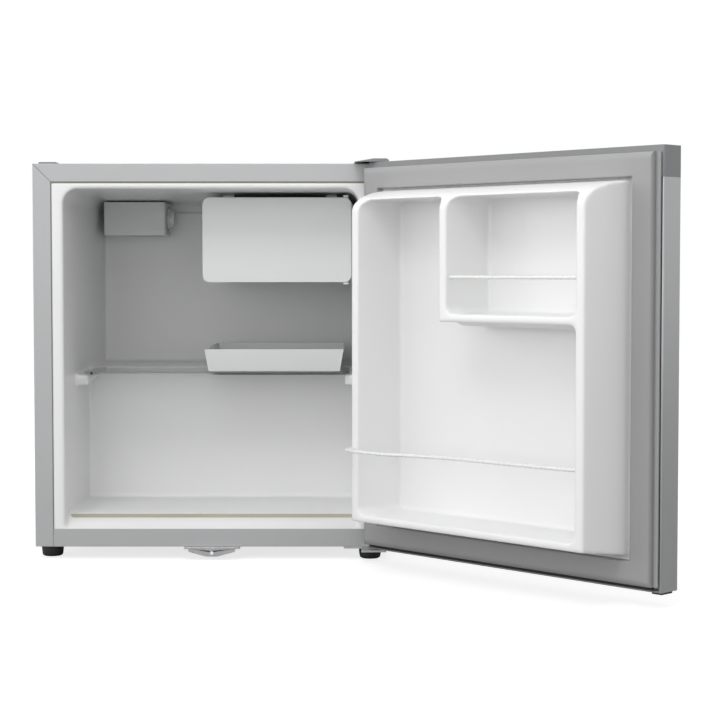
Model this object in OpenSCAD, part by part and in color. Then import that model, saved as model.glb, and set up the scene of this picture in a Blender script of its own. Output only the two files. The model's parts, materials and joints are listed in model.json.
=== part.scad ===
/* [Cabinet] */
// Outside width of the cabinet
cabinet_width = 445; // [400:1:540]
// Depth of the cabinet from its front face to its back panel
cabinet_depth = 385; // [360:1:470]
// Height of the cabinet without its feet
cabinet_height = 480.6; // [440:0.1:580]
// Thickness of the steel sheet
sheet = 1; // [0.6:0.1:1.5]
// Width of the painted steel rim around the front opening
rim_width = 22.5; // [18:0.5:28]
// Height of the feet
foot_height = 16; // [10:0.5:20]
// Diameter of the feet where they meet the cabinet
foot_diameter = 28; // [24:1:32]

/* [Cavity] */
// Thickness of the moulded liners
liner_wall = 1.5; // [1:0.1:2.5]
// Distance from the outside of the cabinet to the side of the cavity
side_insulation = 37.5; // [34:0.5:45]
// Distance from the top of the cabinet to the ceiling of the cavity
top_insulation = 31.3; // [28:0.1:40]
// Distance from the back of the cabinet to the back of the cavity
back_insulation = 50; // [40:1:60]
// Height of the cavity floor
floor_height = 38.5; // [34:0.5:45]
// Distance from the front face to the step over the compressor bay
step_front = 188; // [170:1:210]
// Height of the step over the compressor bay
step_height = 216.5; // [205:0.5:235]
// Thickness of the insulation over and in front of the compressor bay
bay_insulation = 38; // [30:1:45]
// Rounding of the cavity corners
cavity_radius = 18; // [10:1:26]

/* [Shelf and tray] */
// Thickness of the glass shelf
glass_thickness = 4; // [3:0.5:6]
// Distance from the front face to the front edge of the glass shelf
shelf_front = 76; // [74:1:100]
// Gap on each side between the glass shelf and the cavity wall
shelf_side_gap = 12.6; // [12:0.1:15]
// How far each shelf rib stands in from the cavity wall
rib_width = 17; // [15:0.5:22]
// Width of the drip tray over its rim
tray_width = 181; // [150:1:195]
// Depth of the drip tray over its rim
tray_depth = 208; // [160:1:230]
// Height of the drip tray
tray_height = 28.5; // [24:0.5:40]
// Thickness of the drip tray's walls
tray_wall = 2; // [1.5:0.1:3]

/* [Chiller] */
// Width of the chiller flap
flap_width = 192; // [170:1:200]
// Height of the chiller flap
flap_height = 109; // [90:1:120]
// Thickness of the chiller flap
flap_thickness = 7; // [5:0.5:8]
// Distance from the flap's pivot to its hinged edge
flap_pivot_inset = 7; // [6:0.5:9]
// Diameter of the flap's pivot pins
flap_pin_diameter = 4; // [3:0.5:5]

/* [Door] */
// Width of the door
door_width = 446; // [401:1:541]
// Thickness of the door body behind its gasket
door_thickness = 31.4; // [28:0.1:34]
// Gap between the door body and the cabinet when the door is closed
door_gap = 12; // [11:0.5:14]
// Height of the door's bottom edge
door_bottom = 1.7; // [1.2:0.1:3]
// How far the door stands above the cabinet
door_rise = 0; // [0:0.1:1]
// Height of the dark cap on top of the door
top_cap_height = 33.8; // [28:0.1:40]
// Width of the gasket
gasket_width = 26; // [22:1:30]
// Distance from the door's hinge edge to the gasket
gasket_hinge_inset = 1; // [1:0.5:6]
// Distance from the door's free edge to the gasket's raised part
gasket_free_inset = 8; // [8:0.5:14]
// How far the door liner's dykes stand out
dyke_depth = 75; // [60:1:75]
// Width of the dykes' front faces
dyke_face = 11.6; // [10:0.1:15]
// Diameter of the door's wire bars
bar_diameter = 4; // [3:0.5:5]
// Angle at which the door stands open
door_open = 134.33; // [0:0.01:134.33]

/* [Hinges] */
// Distance of the hinge pins from the side of the door
hinge_inset = 11; // [10:0.5:13]
// Distance of the hinge pins from the inner face of the door body
hinge_setback = 11; // [10.5:0.5:13]
// Diameter of the hinge pins
pin_diameter = 5; // [4:0.5:6]
// Radial clearance of the running fits
fit_clearance = 0.05; // [0.02:0.01:0.1]

/* [Hidden] */
$fn = 48;
lap = 0.5;
half_width = cabinet_width / 2;

// Cavity
cavity_half = half_width - side_insulation;
cavity_top = cabinet_height - top_insulation;
cavity_back = cabinet_depth - back_insulation;
ceiling_fall = 5;
sill_depth = 30;
bay_front = step_front + liner_wall + bay_insulation;
bay_top = step_height - liner_wall - bay_insulation;

flap_side_gap = 10;
flap_right = cavity_half - flap_side_gap;

// Shelf and tray
shelf_gap = 0.2;
shelf_half = cavity_half - shelf_side_gap;
shelf_top = step_height;
shelf_depth = step_front - shelf_front - 1;
rib_top = shelf_top - glass_thickness - shelf_gap;
rib_height = 14;
rib_back_height = 4;
tray_front = shelf_front + 6;
tray_bottom = shelf_top + 0.3;
tray_slope = 5;
tray_left = flap_right - flap_width + 1;

// Chiller
flap_top_gap = 7.8;
flap_front = shelf_front - 2;
flap_top = cavity_top - flap_top_gap;
flap_bottom = flap_top - flap_height;
flap_pivot_x = flap_right - flap_pivot_inset;
flap_pivot_y = flap_front + flap_thickness / 2;
flap_corner = 9;
ear_gap = 0.6;
ear_height = 2.4;
frame_front = flap_pivot_y + flap_pivot_inset + 3.5;
frame_depth = 10;
frame_band = 7;
evaporator_wall = 1.5;
evaporator_back_gap = 9;

// Control box
control_width = 86;
control_depth = 66.5;
control_height = 47;
control_left = 13;
control_wall = 2;
control_x = control_left - cavity_half;
control_y = cavity_back - control_depth;
control_top = cavity_top - ceiling_fall - 1;
knob_y = control_y + 32;
knob_z = control_top - 22;
knob_diameter = 30;
knob_width = 9;
shaft_diameter = 6;
sensing_diameter = 2.4;
sensing_y = cavity_back - 6;
sensing_z = knob_z + 8;

// Door, in its own frame: X from the hinge edge, Y outwards, Z up
hinge_x = door_width / 2 - hinge_inset;
hinge_y = -door_gap - hinge_setback;
door_top = cabinet_height + door_rise;
skin_top = door_top - top_cap_height;
door_corner = 2.5;
hem_width = 2;
channel_depth = 7;
cap_wall = 2;
cap_lip = 7.4;
gasket_front = -door_gap + 0.6;
gasket_low = door_bottom + 6.3;
gasket_high = door_top - cap_lip;
gasket_flange = 6;
gasket_flange_depth = 3;
magnet_inset = 8;
magnet_width = 8;
liner_low = gasket_low + gasket_width + 4;
liner_high = gasket_high - gasket_width - 3;
liner_side = 40;
dyke_side_slope = 7;
dyke_top_slope = 27;
dyke_low_slope = 10;
dyke_corner = 8;
dyke_left = liner_side + dyke_side_slope;
dyke_right = door_width - dyke_left;
dyke_low = liner_low + dyke_low_slope;
pocket_left = dyke_left + dyke_face;
pocket_right = dyke_right - dyke_face;
pocket_low = dyke_low + 8.6;
pocket_high = liner_high - 14;
pocket_radius = 9;
upper_shelf_low = pocket_low + 232.5;
upper_shelf_face = 9;
upper_pocket_left = pocket_left + 142;
upper_bar_z = upper_shelf_low + upper_shelf_face + 41.5;
lower_bar_z = pocket_low + 78;
bar_setback = 7;
core_left = 10;
bush_wall = 1.4;
bush_length = 14;
boss_radius = 7.5;
boss_top = door_bottom + bush_length + 3;
cap_floor = door_bottom + cap_wall;

// Hinges and small fittings
plate = 2.5;
top_plate = 1.6;
top_plate_lift = 1.4;
hinge_left = hinge_x - 10;
hinge_right = hinge_x + 7;
hinge_reach = hinge_y - 8;
screw_head = 7;
foot_inset = 16;
right_foot_inset = 23.5;
left_foot_y = 34;
right_foot_y = 14;
rail_depth = 20;
stud_diameter = 8;
stud_length = 10;
rear_foot_inset = 25;
rear_foot_y = cabinet_depth - 35;

// Compressor bay
bay_plate_z = 8;
bay_plate = 2;
compressor_x = 60;
compressor_radius = 56;
compressor_y = cabinet_depth - compressor_radius - 18;
compressor_low = 22;
compressor_high = bay_top - 34;
grommet_spread = 46;
port_reach = compressor_radius - 3;
suction_z = compressor_low + 40;
discharge_z = compressor_low + 30;
discharge_side = 20;
pan_low = bay_top - 26;
pan_height = 16;
drain_x = -cavity_half + 55;
drain_y = cavity_back - 14;
drain_radius = 6;

// Condenser on the back
condenser_tube_d = 4.8;
condenser_y = cabinet_depth + 10;
condenser_half = half_width - 40;
condenser_rows = 9;
condenser_low = bay_top + 14;
condenser_pitch = (cabinet_height - 40 - condenser_low) / (condenser_rows - 1);
condenser_wire_d = 1.5;
condenser_wire_count = 24;
spacer_depth = 28;

// ---------- helpers ----------

// Everything in the cabinet is drawn from the front face; the row's origin is the middle of the underside
module from_front() {
    translate([0, -cabinet_depth / 2, 0])
        children();
}

// Places door pieces, drawn in the door's own frame, on the open door
module on_door() {
    from_front()
        translate([hinge_x, hinge_y, 0])
            rotate([0, 0, door_open])
                translate([hinge_inset, hinge_setback, 0])
                    rotate([0, 0, 180])
                        children();
}

module block(low, high) {
    translate(low)
        cube(high - low);
}

// Rectangle with round corners between two points
module round_rect(low, high, r) {
    translate([low.x + r, low.y])
        square([high.x - low.x - 2 * r, high.y - low.y]);
    translate([low.x, low.y + r])
        square([high.x - low.x, high.y - low.y - 2 * r]);
    for (x = [low.x + r, high.x - r])
        for (y = [low.y + r, high.y - r])
            translate([x, y])
                circle(r);
}

// Extrudes an XZ outline along Y
module along_y(from, to) {
    translate([0, to, 0])
        rotate([90, 0, 0])
            linear_extrude(to - from)
                children();
}

// Extrudes a YZ outline along X
module along_x(from, to) {
    translate([from, 0, 0])
        rotate([90, 0, 90])
            linear_extrude(to - from)
                children();
}

module rod(from, to, d) {
    v = to - from;
    translate(from)
        rotate([0, acos(v.z / norm(v)), atan2(v.y, v.x)])
            cylinder(h = norm(v), d = d);
}

function unit(v) = v / norm(v);
function tangent(p, i) = unit(p[min(i + 1, len(p) - 1)] - p[max(i - 1, 0)]);
function across(v, t) = unit(v - (v * t) * t);

// Side vectors of the rings, carried along the path without twisting
function side_vectors(p) = [
    for (i = 0, n = across([0.1, 0.3, 1], tangent(p, 0));
        i < len(p);
        i = i + 1, n = across(n, tangent(p, min(i, len(p) - 1))))
        n
];

// Points of a bend that leaves the corner b by at most r on each side
function bend(a, b, c, r) =
    let (from = b + unit(a - b) * min(r, norm(a - b) * 0.45), to = b + unit(c - b) * min(r, norm(c - b) * 0.45))
    [for (u = [0 : 0.25 : 1]) (1 - u) * (1 - u) * from + 2 * u * (1 - u) * b + u * u * to];

function rounded_path(p, r) = [
    p[0],
    for (i = [1 : len(p) - 2]) each bend(p[i - 1], p[i], p[i + 1], r),
    p[len(p) - 1]
];

// A bent rod through a list of points, with bends of radius about r
module bent_rod(points, d, r = 12) {
    sides = 12;
    path = rounded_path(points, r);
    normals = side_vectors(path);
    last = len(path) - 1;
    rings = [
        for (i = [0 : last])
            for (k = [0 : sides - 1])
                let (a = 360 * k / sides, n = normals[i])
                path[i] + d / 2 * (cos(a) * n + sin(a) * cross(tangent(path, i), n))
    ];
    walls = [
        for (i = [0 : last - 1])
            for (k = [0 : sides - 1])
                let (next = (k + 1) % sides)
                [i * sides + k, (i + 1) * sides + k, (i + 1) * sides + next, i * sides + next]
    ];
    start_cap = [for (k = [0 : sides - 1]) k];
    end_cap = [for (k = [sides - 1 : -1 : 0]) last * sides + k];
    polyhedron(points = rings, faces = concat(walls, [start_cap, end_cap]));
}

// ---------- cabinet ----------

// The cavity, grown outwards by g, open at the front
module cavity(g) {
    intersection() {
        along_x(-cavity_half - g, cavity_half + g)
            polygon([
                [-lap, rim_width - g],
                [4, rim_width + 2 - g],
                [sill_depth, floor_height - g],
                [step_front + g, floor_height - g],
                [step_front + g, step_height - g],
                [cavity_back + g, step_height - g],
                [cavity_back + g, cavity_top - ceiling_fall + g],
                [-lap, cavity_top + g]
            ]);
        along_y(-lap, cavity_back + g)
            round_rect([-cavity_half - g, -cavity_radius], [cavity_half + g, cavity_top + g], cavity_radius + g);
    }
}

module shelf_ribs() {
    for (side = [0, 1])
        mirror([side, 0, 0])
            along_x(cavity_half - rib_width, cavity_half + lap)
                polygon([
                    [shelf_front + 4, rib_top],
                    [step_front + lap, rib_top],
                    [step_front + lap, rib_top - rib_back_height],
                    [shelf_front + 8, rib_top - rib_height]
                ]);
}

module outer_shell() {
    color("silver")
        from_front()
            difference() {
                block([-half_width, 0, 0], [half_width, cabinet_depth, cabinet_height]);
                block([-half_width + sheet, sheet, -lap],
                    [half_width - sheet, cabinet_depth + lap, cabinet_height - sheet]);
                block([-half_width + rim_width, -lap, -lap],
                    [half_width - rim_width, sheet + lap, cabinet_height - rim_width]);
            }
}

module front_bottom_rail() {
    color("silver")
        from_front() {
            inner = half_width - rim_width;
            difference() {
                union() {
                    block([-inner, 0, 0], [inner, sheet, rim_width]);
                    block([-inner, 0, 0], [inner, rail_depth, sheet]);
                }
                foot_stud_holes(-lap, sheet + lap);
            }
        }
}

module base_panel() {
    color("gainsboro")
        from_front()
            difference() {
                inner = half_width - sheet;
                union() {
                    block([-inner, rail_depth, 0], [inner, bay_front, sheet]);
                    block([-inner, sheet, 0], [-half_width + rim_width, rail_depth + lap, sheet]);
                    block([half_width - rim_width, sheet, 0], [inner, rail_depth + lap, sheet]);
                }
                foot_stud_holes(-lap, sheet + lap);
            }
}

module foot_stud_holes(low, high) {
    r = stud_diameter / 2 + fit_clearance;
    translate([foot_inset - half_width, left_foot_y, low])
        cylinder(h = high - low, r = r);
    translate([half_width - right_foot_inset, right_foot_y, low])
        cylinder(h = high - low, r = r);
}

module back_panel() {
    color("gainsboro")
        from_front()
            block([-half_width + sheet, cabinet_depth - sheet, bay_top],
                [half_width - sheet, cabinet_depth, cabinet_height - sheet]);
}

module bay_panel() {
    color("gainsboro")
        from_front()
            difference() {
                inner = half_width - sheet;
                union() {
                    block([-inner, bay_front - sheet, sheet], [inner, bay_front, bay_top]);
                    block([-inner, bay_front - lap, bay_top - sheet], [inner, cabinet_depth, bay_top]);
                }
                drain_hole();
            }
}

module drain_hole() {
    translate([drain_x, drain_y, bay_top - 4])
        cylinder(h = step_height - bay_top + 8, r = drain_radius);
}

module cabinet_liner() {
    color("white")
        from_front() {
            difference() {
                intersection() {
                    cavity(liner_wall);
                    block([-half_width, 0, 0], [half_width, cabinet_depth, cabinet_height]);
                }
                cavity(0);
                drain_hole();
                block([-half_width, -lap, 0], [half_width, sheet, rim_width]);
            }
            shelf_ribs();
            difference() {
                block([-half_width + rim_width, 0, rim_width],
                    [half_width - rim_width, liner_wall, cabinet_height - rim_width]);
                cavity(liner_wall / 2);
            }
        }
}

module cabinet_foam() {
    color("khaki")
        from_front()
            difference() {
                inner = half_width - sheet;
                block([-inner, liner_wall, sheet], [inner, cabinet_depth - sheet, cabinet_height - sheet]);
                cavity(liner_wall);
                block([-inner - lap, bay_front - sheet, 0], [inner + lap, cabinet_depth, bay_top]);
                foot_pockets();
                drain_hole();
            }
}

// Room in the foam for the foot studs
module foot_pockets() {
    translate([foot_inset - half_width, left_foot_y, 0])
        cylinder(h = stud_length + 3, d = stud_diameter + 4);
    translate([half_width - right_foot_inset, right_foot_y, 0])
        cylinder(h = stud_length + 3, d = stud_diameter + 4);
}

// ---------- chiller ----------

evaporator_left = flap_right - flap_width + 3;
evaporator_right = flap_right + 1;
evaporator_low = flap_bottom + 4;
evaporator_high = flap_top - 3;

module evaporator() {
    color("lightgray")
        from_front()
            along_y(frame_front + frame_depth, cavity_back - evaporator_back_gap)
                difference() {
                    round_rect([evaporator_left, evaporator_low], [evaporator_right, evaporator_high], 8);
                    round_rect([evaporator_left + evaporator_wall, evaporator_low + evaporator_wall],
                        [evaporator_right - evaporator_wall, evaporator_high - evaporator_wall],
                        8 - evaporator_wall);
                }
}

module evaporator_clips() {
    color("white")
        from_front()
            for (x = [evaporator_left + 20, evaporator_right - 34])
                for (y = [frame_front + 40, cavity_back - 50])
                    block([x, y, evaporator_high],
                        [x + 14, y + 10, cavity_top - ceiling_fall * y / cavity_back - 0.5]);
}

// Front frame of the chiller with the two ears that carry the flap
module chiller_frame() {
    pivot_r = flap_pin_diameter / 2 + fit_clearance;
    ear_half = 3.4;
    color("white")
        from_front()
            difference() {
                union() {
                    along_y(frame_front, frame_front + frame_depth)
                        difference() {
                            round_rect([evaporator_left - 1, evaporator_low - 1],
                                [evaporator_right + 1, evaporator_high + 1], flap_corner);
                            round_rect([evaporator_left + frame_band, evaporator_low + frame_band],
                                [evaporator_right - frame_band, evaporator_high - frame_band], flap_corner);
                        }
                    for (z = [flap_bottom - ear_gap - ear_height, flap_top + ear_gap])
                        block([flap_pivot_x - ear_half, flap_pivot_y - ear_half, z],
                            [flap_pivot_x + ear_half, frame_front + frame_depth, z + ear_height]);
                    block([flap_pivot_x - ear_half, frame_front, flap_bottom - ear_gap - ear_height],
                        [flap_pivot_x + ear_half, frame_front + frame_depth, evaporator_low + frame_band]);
                    block([flap_pivot_x - ear_half, frame_front, evaporator_high - frame_band],
                        [flap_pivot_x + ear_half, frame_front + frame_depth, flap_top + ear_gap + ear_height]);
                }
                translate([flap_pivot_x, flap_pivot_y, flap_bottom - 6])
                    cylinder(h = 6, r = pivot_r);
                translate([flap_pivot_x, flap_pivot_y, flap_top])
                    cylinder(h = 6, r = pivot_r);
            }
}

module chiller_flap() {
    color("white")
        from_front() {
            left = flap_right - flap_width;
            difference() {
                along_y(flap_front, flap_front + flap_thickness)
                    round_rect([left, flap_bottom], [flap_right, flap_top], flap_corner);
                along_y(flap_front + 2, flap_front + flap_thickness + lap)
                    round_rect([left + 2, flap_bottom + 2],
                        [flap_pivot_x - flap_pin_diameter - 2, flap_top - 2], flap_corner - 2);
            }
            translate([flap_pivot_x, flap_pivot_y, flap_bottom - ear_gap - ear_height])
                cylinder(h = flap_height + 2 * (ear_gap + ear_height), d = flap_pin_diameter);
        }
}

// ---------- controls ----------

module control_box() {
    color("whitesmoke")
        from_front()
            difference() {
                block([control_x, control_y, control_top - control_height],
                    [control_x + control_width, cavity_back, control_top]);
                block([control_x + control_wall, control_y + control_wall,
                        control_top - control_height + control_wall],
                    [control_x + control_width - control_wall, cavity_back + lap, control_top + lap]);
                translate([control_x + control_width - control_wall - lap, knob_y, knob_z])
                    rotate([0, 90, 0])
                        cylinder(h = control_wall + 2 * lap, d = shaft_diameter + 3);
                translate([control_x + control_width - control_wall - lap, sensing_y, sensing_z])
                    rotate([0, 90, 0])
                        cylinder(h = control_wall + 2 * lap, d = sensing_diameter + 0.8);
            }
}

module thermostat() {
    color("gray")
        from_front()
            translate([control_x + control_width - control_wall, knob_y, knob_z])
                rotate([0, 90, 0]) {
                    translate([-13, -16, -32])
                        cube([26, 32, 31.7]);
                    translate([0, 0, -1])
                        cylinder(h = 1 + control_wall + knob_width - 2, d = shaft_diameter);
                }
}

module thermostat_knob() {
    color("white")
        from_front()
            translate([control_x + control_width + 0.5, knob_y, knob_z])
                rotate([0, 90, 0])
                    difference() {
                        union() {
                            cylinder(h = 3, d = knob_diameter);
                            cylinder(h = knob_width, d = knob_diameter - 6);
                        }
                        translate([0, 0, -lap])
                            cylinder(h = knob_width - 2, r = shaft_diameter / 2 + fit_clearance);
                    }
}

module sensing_tube() {
    color("white")
        from_front() {
            start = control_x + control_width - 16;
            beside = evaporator_left - sensing_diameter / 2 - 0.05;
            bent_rod([
                [start, knob_y + 16, sensing_z], [start, sensing_y, sensing_z],
                [beside - 16, sensing_y, sensing_z], [beside, cavity_back - 30, sensing_z - 4],
                [beside, cavity_back - 110, sensing_z - 4]
            ], sensing_diameter, 5);
        }
}

// ---------- shelf and tray ----------

module glass_shelf() {
    color("lightcyan", 0.5)
        from_front()
            translate([0, 0, shelf_top - glass_thickness])
                linear_extrude(glass_thickness)
                    round_rect([-shelf_half, shelf_front], [shelf_half, shelf_front + shelf_depth], 4);
}

// Slanted body of the tray, smaller by inset all round
module tray_body(inset) {
    left = tray_left + inset;
    right = tray_left + tray_width - inset;
    front = tray_front + inset;
    back = tray_front + tray_depth - inset;
    low = tray_bottom + inset;
    high = tray_bottom + tray_height;
    intersection() {
        along_y(front, back)
            polygon([[left + tray_slope, low], [right - tray_slope, low], [right, high], [left, high]]);
        along_x(left, right)
            polygon([[front + tray_slope, low], [back - tray_slope, low], [back, high], [front, high]]);
    }
}

module drip_tray() {
    color("white")
        from_front()
            difference() {
                tray_body(0);
                tray_body(tray_wall);
                block([tray_left + tray_wall, tray_front + tray_wall, tray_bottom + tray_height - lap],
                    [tray_left + tray_width - tray_wall, tray_front + tray_depth - tray_wall,
                        tray_bottom + tray_height + lap]);
            }
}

// ---------- compressor bay ----------

module compressor_plate() {
    color("dimgray")
        from_front()
            difference() {
                union() {
                    block([-half_width + sheet, bay_front + 8, bay_plate_z],
                        [half_width - sheet, cabinet_depth - 2, bay_plate_z + bay_plate]);
                    for (y = [bay_front + 8, cabinet_depth - 2 - bay_plate])
                        block([-half_width + sheet, y, 0], [half_width - sheet, y + bay_plate, bay_plate_z + lap]);
                }
                at_compressor_feet()
                    translate([0, 0, bay_plate_z - lap])
                        cylinder(h = bay_plate + 2 * lap, d = 6);
            }
}

module at_compressor_feet() {
    for (x = [-1, 1])
        for (y = [-1, 1])
            translate([compressor_x + x * grommet_spread, compressor_y + y * grommet_spread, 0])
                children();
}

module compressor_grommets() {
    color("black")
        from_front()
            at_compressor_feet()
                translate([0, 0, bay_plate_z + bay_plate])
                    difference() {
                        cylinder(h = compressor_low - bay_plate_z - bay_plate - 2, d = 18);
                        translate([0, 0, -lap])
                            cylinder(h = 20, d = 6);
                    }
}

module compressor_bolts() {
    color("silver")
        from_front()
            at_compressor_feet() {
                translate([0, 0, bay_plate_z - 4])
                    cylinder(h = compressor_low - bay_plate_z + 8, d = 6);
                translate([0, 0, bay_plate_z - 4])
                    cylinder(h = 4, d = 11);
                translate([0, 0, compressor_low])
                    cylinder(h = 3, d = 11);
            }
}

module compressor() {
    color("black")
        from_front() {
            difference() {
                block([compressor_x - grommet_spread - 10, compressor_y - grommet_spread - 10, compressor_low - 2],
                    [compressor_x + grommet_spread + 10, compressor_y + grommet_spread + 10, compressor_low]);
                at_compressor_feet()
                    translate([0, 0, compressor_low - 3])
                        cylinder(h = 4, d = 6);
            }
            translate([compressor_x, compressor_y, suction_z])
                rotate([0, -90, 0])
                    cylinder(h = port_reach, d = 10);
            translate([compressor_x + discharge_side, compressor_y, discharge_z])
                rotate([-90, 0, 0])
                    cylinder(h = port_reach, d = 8);
            translate([compressor_x, compressor_y, 0])
                rotate_extrude() {
                    height = compressor_high - compressor_low;
                    crown = 30;
                    translate([0, compressor_low - lap])
                        square([compressor_radius - 12, 12]);
                    intersection() {
                        translate([0, compressor_low + 4])
                            square([compressor_radius - 8, height - 4]);
                        union() {
                            translate([0, compressor_low + 4])
                                square([compressor_radius - 8, height - crown - 4]);
                            translate([compressor_radius - 8 - crown, compressor_high - crown])
                                circle(crown);
                            translate([0, compressor_high - crown])
                                square([compressor_radius - 8 - crown, crown]);
                        }
                    }
                    translate([0, compressor_low + height / 2 - 3])
                        square([compressor_radius - 3, 6]);
                }
        }
}

relay_x = compressor_x + compressor_radius - 8;

module relay_box() {
    color("black")
        from_front()
            difference() {
                block([relay_x - 6, compressor_y - 24, compressor_low + 20],
                    [relay_x + 30, compressor_y + 24, compressor_low + 52]);
                translate([compressor_x, compressor_y, 0])
                    cylinder(h = compressor_high, r = compressor_radius - 8);
                translate([relay_x + 20, compressor_y, compressor_low + 36])
                    rotate([0, 90, 0])
                        cylinder(h = 20, d = 14);
            }
}

module cord_gland() {
    color("black")
        from_front()
            translate([relay_x + 20, compressor_y, compressor_low + 36])
                rotate([0, 90, 0])
                    difference() {
                        union() {
                            cylinder(h = 14, d = 14);
                            translate([0, 0, 10])
                                cylinder(h = 4, d = 20);
                        }
                        translate([0, 0, -lap])
                            cylinder(h = 16, d = 7.6);
                    }
}

module filter_drier() {
    x = compressor_x - compressor_radius - 40;
    y = cabinet_depth - 30;
    color("peru")
        from_front()
            translate([x, y, 60])
                rotate_extrude()
                    polygon([[0, -12], [3, -12], [3, -6], [9, 2], [9, 78], [3, 88], [3, 94], [0, 94]]);
}

module suction_tube() {
    top = pan_low - 10;
    side = compressor_x - port_reach;
    color("peru")
        from_front()
            bent_rod([
                [side, compressor_y, suction_z], [side - 16, compressor_y, suction_z],
                [side - 20, compressor_y + 10, top], [side - 70, compressor_y + 10, top],
                [side - 70, cabinet_depth - 10, top]
            ], 6);
}

module discharge_tube() {
    color("peru")
        from_front()
            bent_rod([
                [compressor_x + discharge_side, compressor_y + port_reach, discharge_z],
                [compressor_x + discharge_side, compressor_y + port_reach + 9, discharge_z],
                [compressor_x + 80, compressor_y + 64, compressor_low + 60],
                [compressor_x + 100, cabinet_depth - 6, bay_top - 14],
                [condenser_half, condenser_y, condenser_low - 14],
                [condenser_half, condenser_y, condenser_low - condenser_tube_d / 2 - 0.1]
            ], condenser_tube_d);
}

module drip_pan() {
    color("black")
        from_front()
            difference() {
                block([drain_x - 30, drain_y - 60, pan_low], [compressor_x - 60, drain_y + 30, pan_low + pan_height]);
                block([drain_x - 28, drain_y - 58, pan_low + 2],
                    [compressor_x - 62, drain_y + 28, pan_low + pan_height + lap]);
            }
}

module drain_spout() {
    color("white")
        from_front()
            translate([drain_x, drain_y, pan_low + 6])
                difference() {
                    cylinder(h = step_height - pan_low - 6, r = drain_radius);
                    translate([0, 0, -lap])
                        cylinder(h = step_height - pan_low, r = drain_radius - 1.5);
                }
}

// ---------- condenser ----------

module condenser_tube() {
    color("black")
        from_front() {
            r = condenser_pitch / 2;
            for (i = [0 : condenser_rows - 1])
                rod([-condenser_half + r, condenser_y, condenser_low + i * condenser_pitch],
                    [condenser_half - r, condenser_y, condenser_low + i * condenser_pitch], condenser_tube_d);
            for (i = [0 : condenser_rows - 2])
                mirror([i % 2, 0, 0])
                    translate([-condenser_half + r, condenser_y, condenser_low + (i + 0.5) * condenser_pitch])
                        rotate([90, 0, 0])
                            rotate([0, 0, 90])
                                rotate_extrude(angle = 180)
                                    translate([r, 0])
                                        circle(d = condenser_tube_d);
            rod([condenser_half - r - lap, condenser_y, condenser_low],
                [condenser_half + condenser_tube_d / 2, condenser_y, condenser_low], condenser_tube_d);
        }
}

module condenser_wires() {
    color("black")
        from_front() {
            r = condenser_pitch / 2;
            span = 2 * (condenser_half - r) - 20;
            step = span / (condenser_wire_count - 1);
            for (i = [0 : condenser_wire_count - 1])
                translate([-span / 2 + i * step,
                        condenser_y + condenser_tube_d / 2 + condenser_wire_d / 2, condenser_low - 6])
                    cylinder(h = condenser_pitch * (condenser_rows - 1) + 12, d = condenser_wire_d, $fn = 16);
        }
}

module condenser_clips() {
    color("white")
        from_front()
            for (x = [-1, 1])
                for (row = [1, condenser_rows - 2])
                    difference() {
                        z = condenser_low + row * condenser_pitch;
                        translate([x * (condenser_half - 60) - 6, cabinet_depth, z - 8])
                            cube([12, condenser_y - cabinet_depth + 1, 16]);
                        rod([-condenser_half, condenser_y, z], [condenser_half, condenser_y, z], condenser_tube_d);
                    }
}

module wall_spacers() {
    color("black")
        from_front()
            for (x = [-1, 1])
                translate([x * (half_width - 18) - 8, cabinet_depth, cabinet_height - 60])
                    difference() {
                        cube([16, spacer_depth, 30]);
                        translate([3, -lap, 3])
                            cube([10, spacer_depth - 3, 24]);
                    }
}

// ---------- hinges, catch and feet ----------

module top_hinge() {
    z = cabinet_height;
    color("silver")
        from_front() {
            difference() {
                along_x(hinge_left, hinge_right)
                    polygon([
                        [44, z], [3, z], [-1, z + top_plate_lift], [hinge_reach, z + top_plate_lift],
                        [hinge_reach, z + top_plate_lift + top_plate], [0, z + top_plate_lift + top_plate],
                        [4, z + top_plate], [44, z + top_plate]
                    ]);
                at_top_screws()
                    translate([0, 0, z - 1])
                        cylinder(h = 6, d = 4);
            }
            translate([hinge_x, hinge_y, door_top - bush_length])
                cylinder(h = bush_length + top_plate_lift - door_rise + lap, d = pin_diameter);
        }
}

module at_top_screws() {
    for (y = [14, 34])
        translate([hinge_x - 6, y, 0])
            children();
}

// Low cover with one long sloping side
module top_hinge_cover() {
    z = cabinet_height;
    crown = 4.4;
    wall = 1.1;
    left = hinge_x - 35;
    right = hinge_right + 3;
    module profile(inset) {
        polygon([
            [left + 4 * inset, z + inset / 4], [hinge_x - 9, z + crown - inset],
            [hinge_right, z + crown - inset], [right - inset, z + crown - 2 - inset], [right - inset, z - lap],
            [left + 4 * inset, z - lap]
        ]);
    }
    color("dimgray")
        from_front()
            difference() {
                along_y(hinge_reach - 3, 50)
                    profile(0);
                along_y(hinge_reach - 3 + wall, 50 - wall)
                    profile(wall);
                block([left - 1, hinge_reach - 4, z - 1], [right + 1, 0, door_top + 0.4]);
                block([left - 1, -lap, z - 1], [right + 1, 51, z]);
            }
}

module bottom_hinge() {
    color("silver")
        from_front() {
            difference() {
                union() {
                    block([hinge_x - 46, 0, -plate], [half_width, 44, 0]);
                    block([hinge_x - 24, hinge_reach, -plate], [hinge_right, lap, 0]);
                }
                foot_stud_holes(-plate - lap, lap);
                at_bottom_screws()
                    translate([0, 0, -plate - lap])
                        cylinder(h = plate + 2 * lap, d = 4);
            }
            translate([hinge_x, hinge_y, -plate])
                cylinder(h = plate + door_bottom + bush_length, d = pin_diameter);
        }
}

module at_bottom_screws() {
    for (x = [-38, -16])
        translate([hinge_x + x, 34, 0])
            children();
}

module at_catch_screws() {
    for (x = [-22, 22])
        translate([x, 12, 0])
            children();
}

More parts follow.
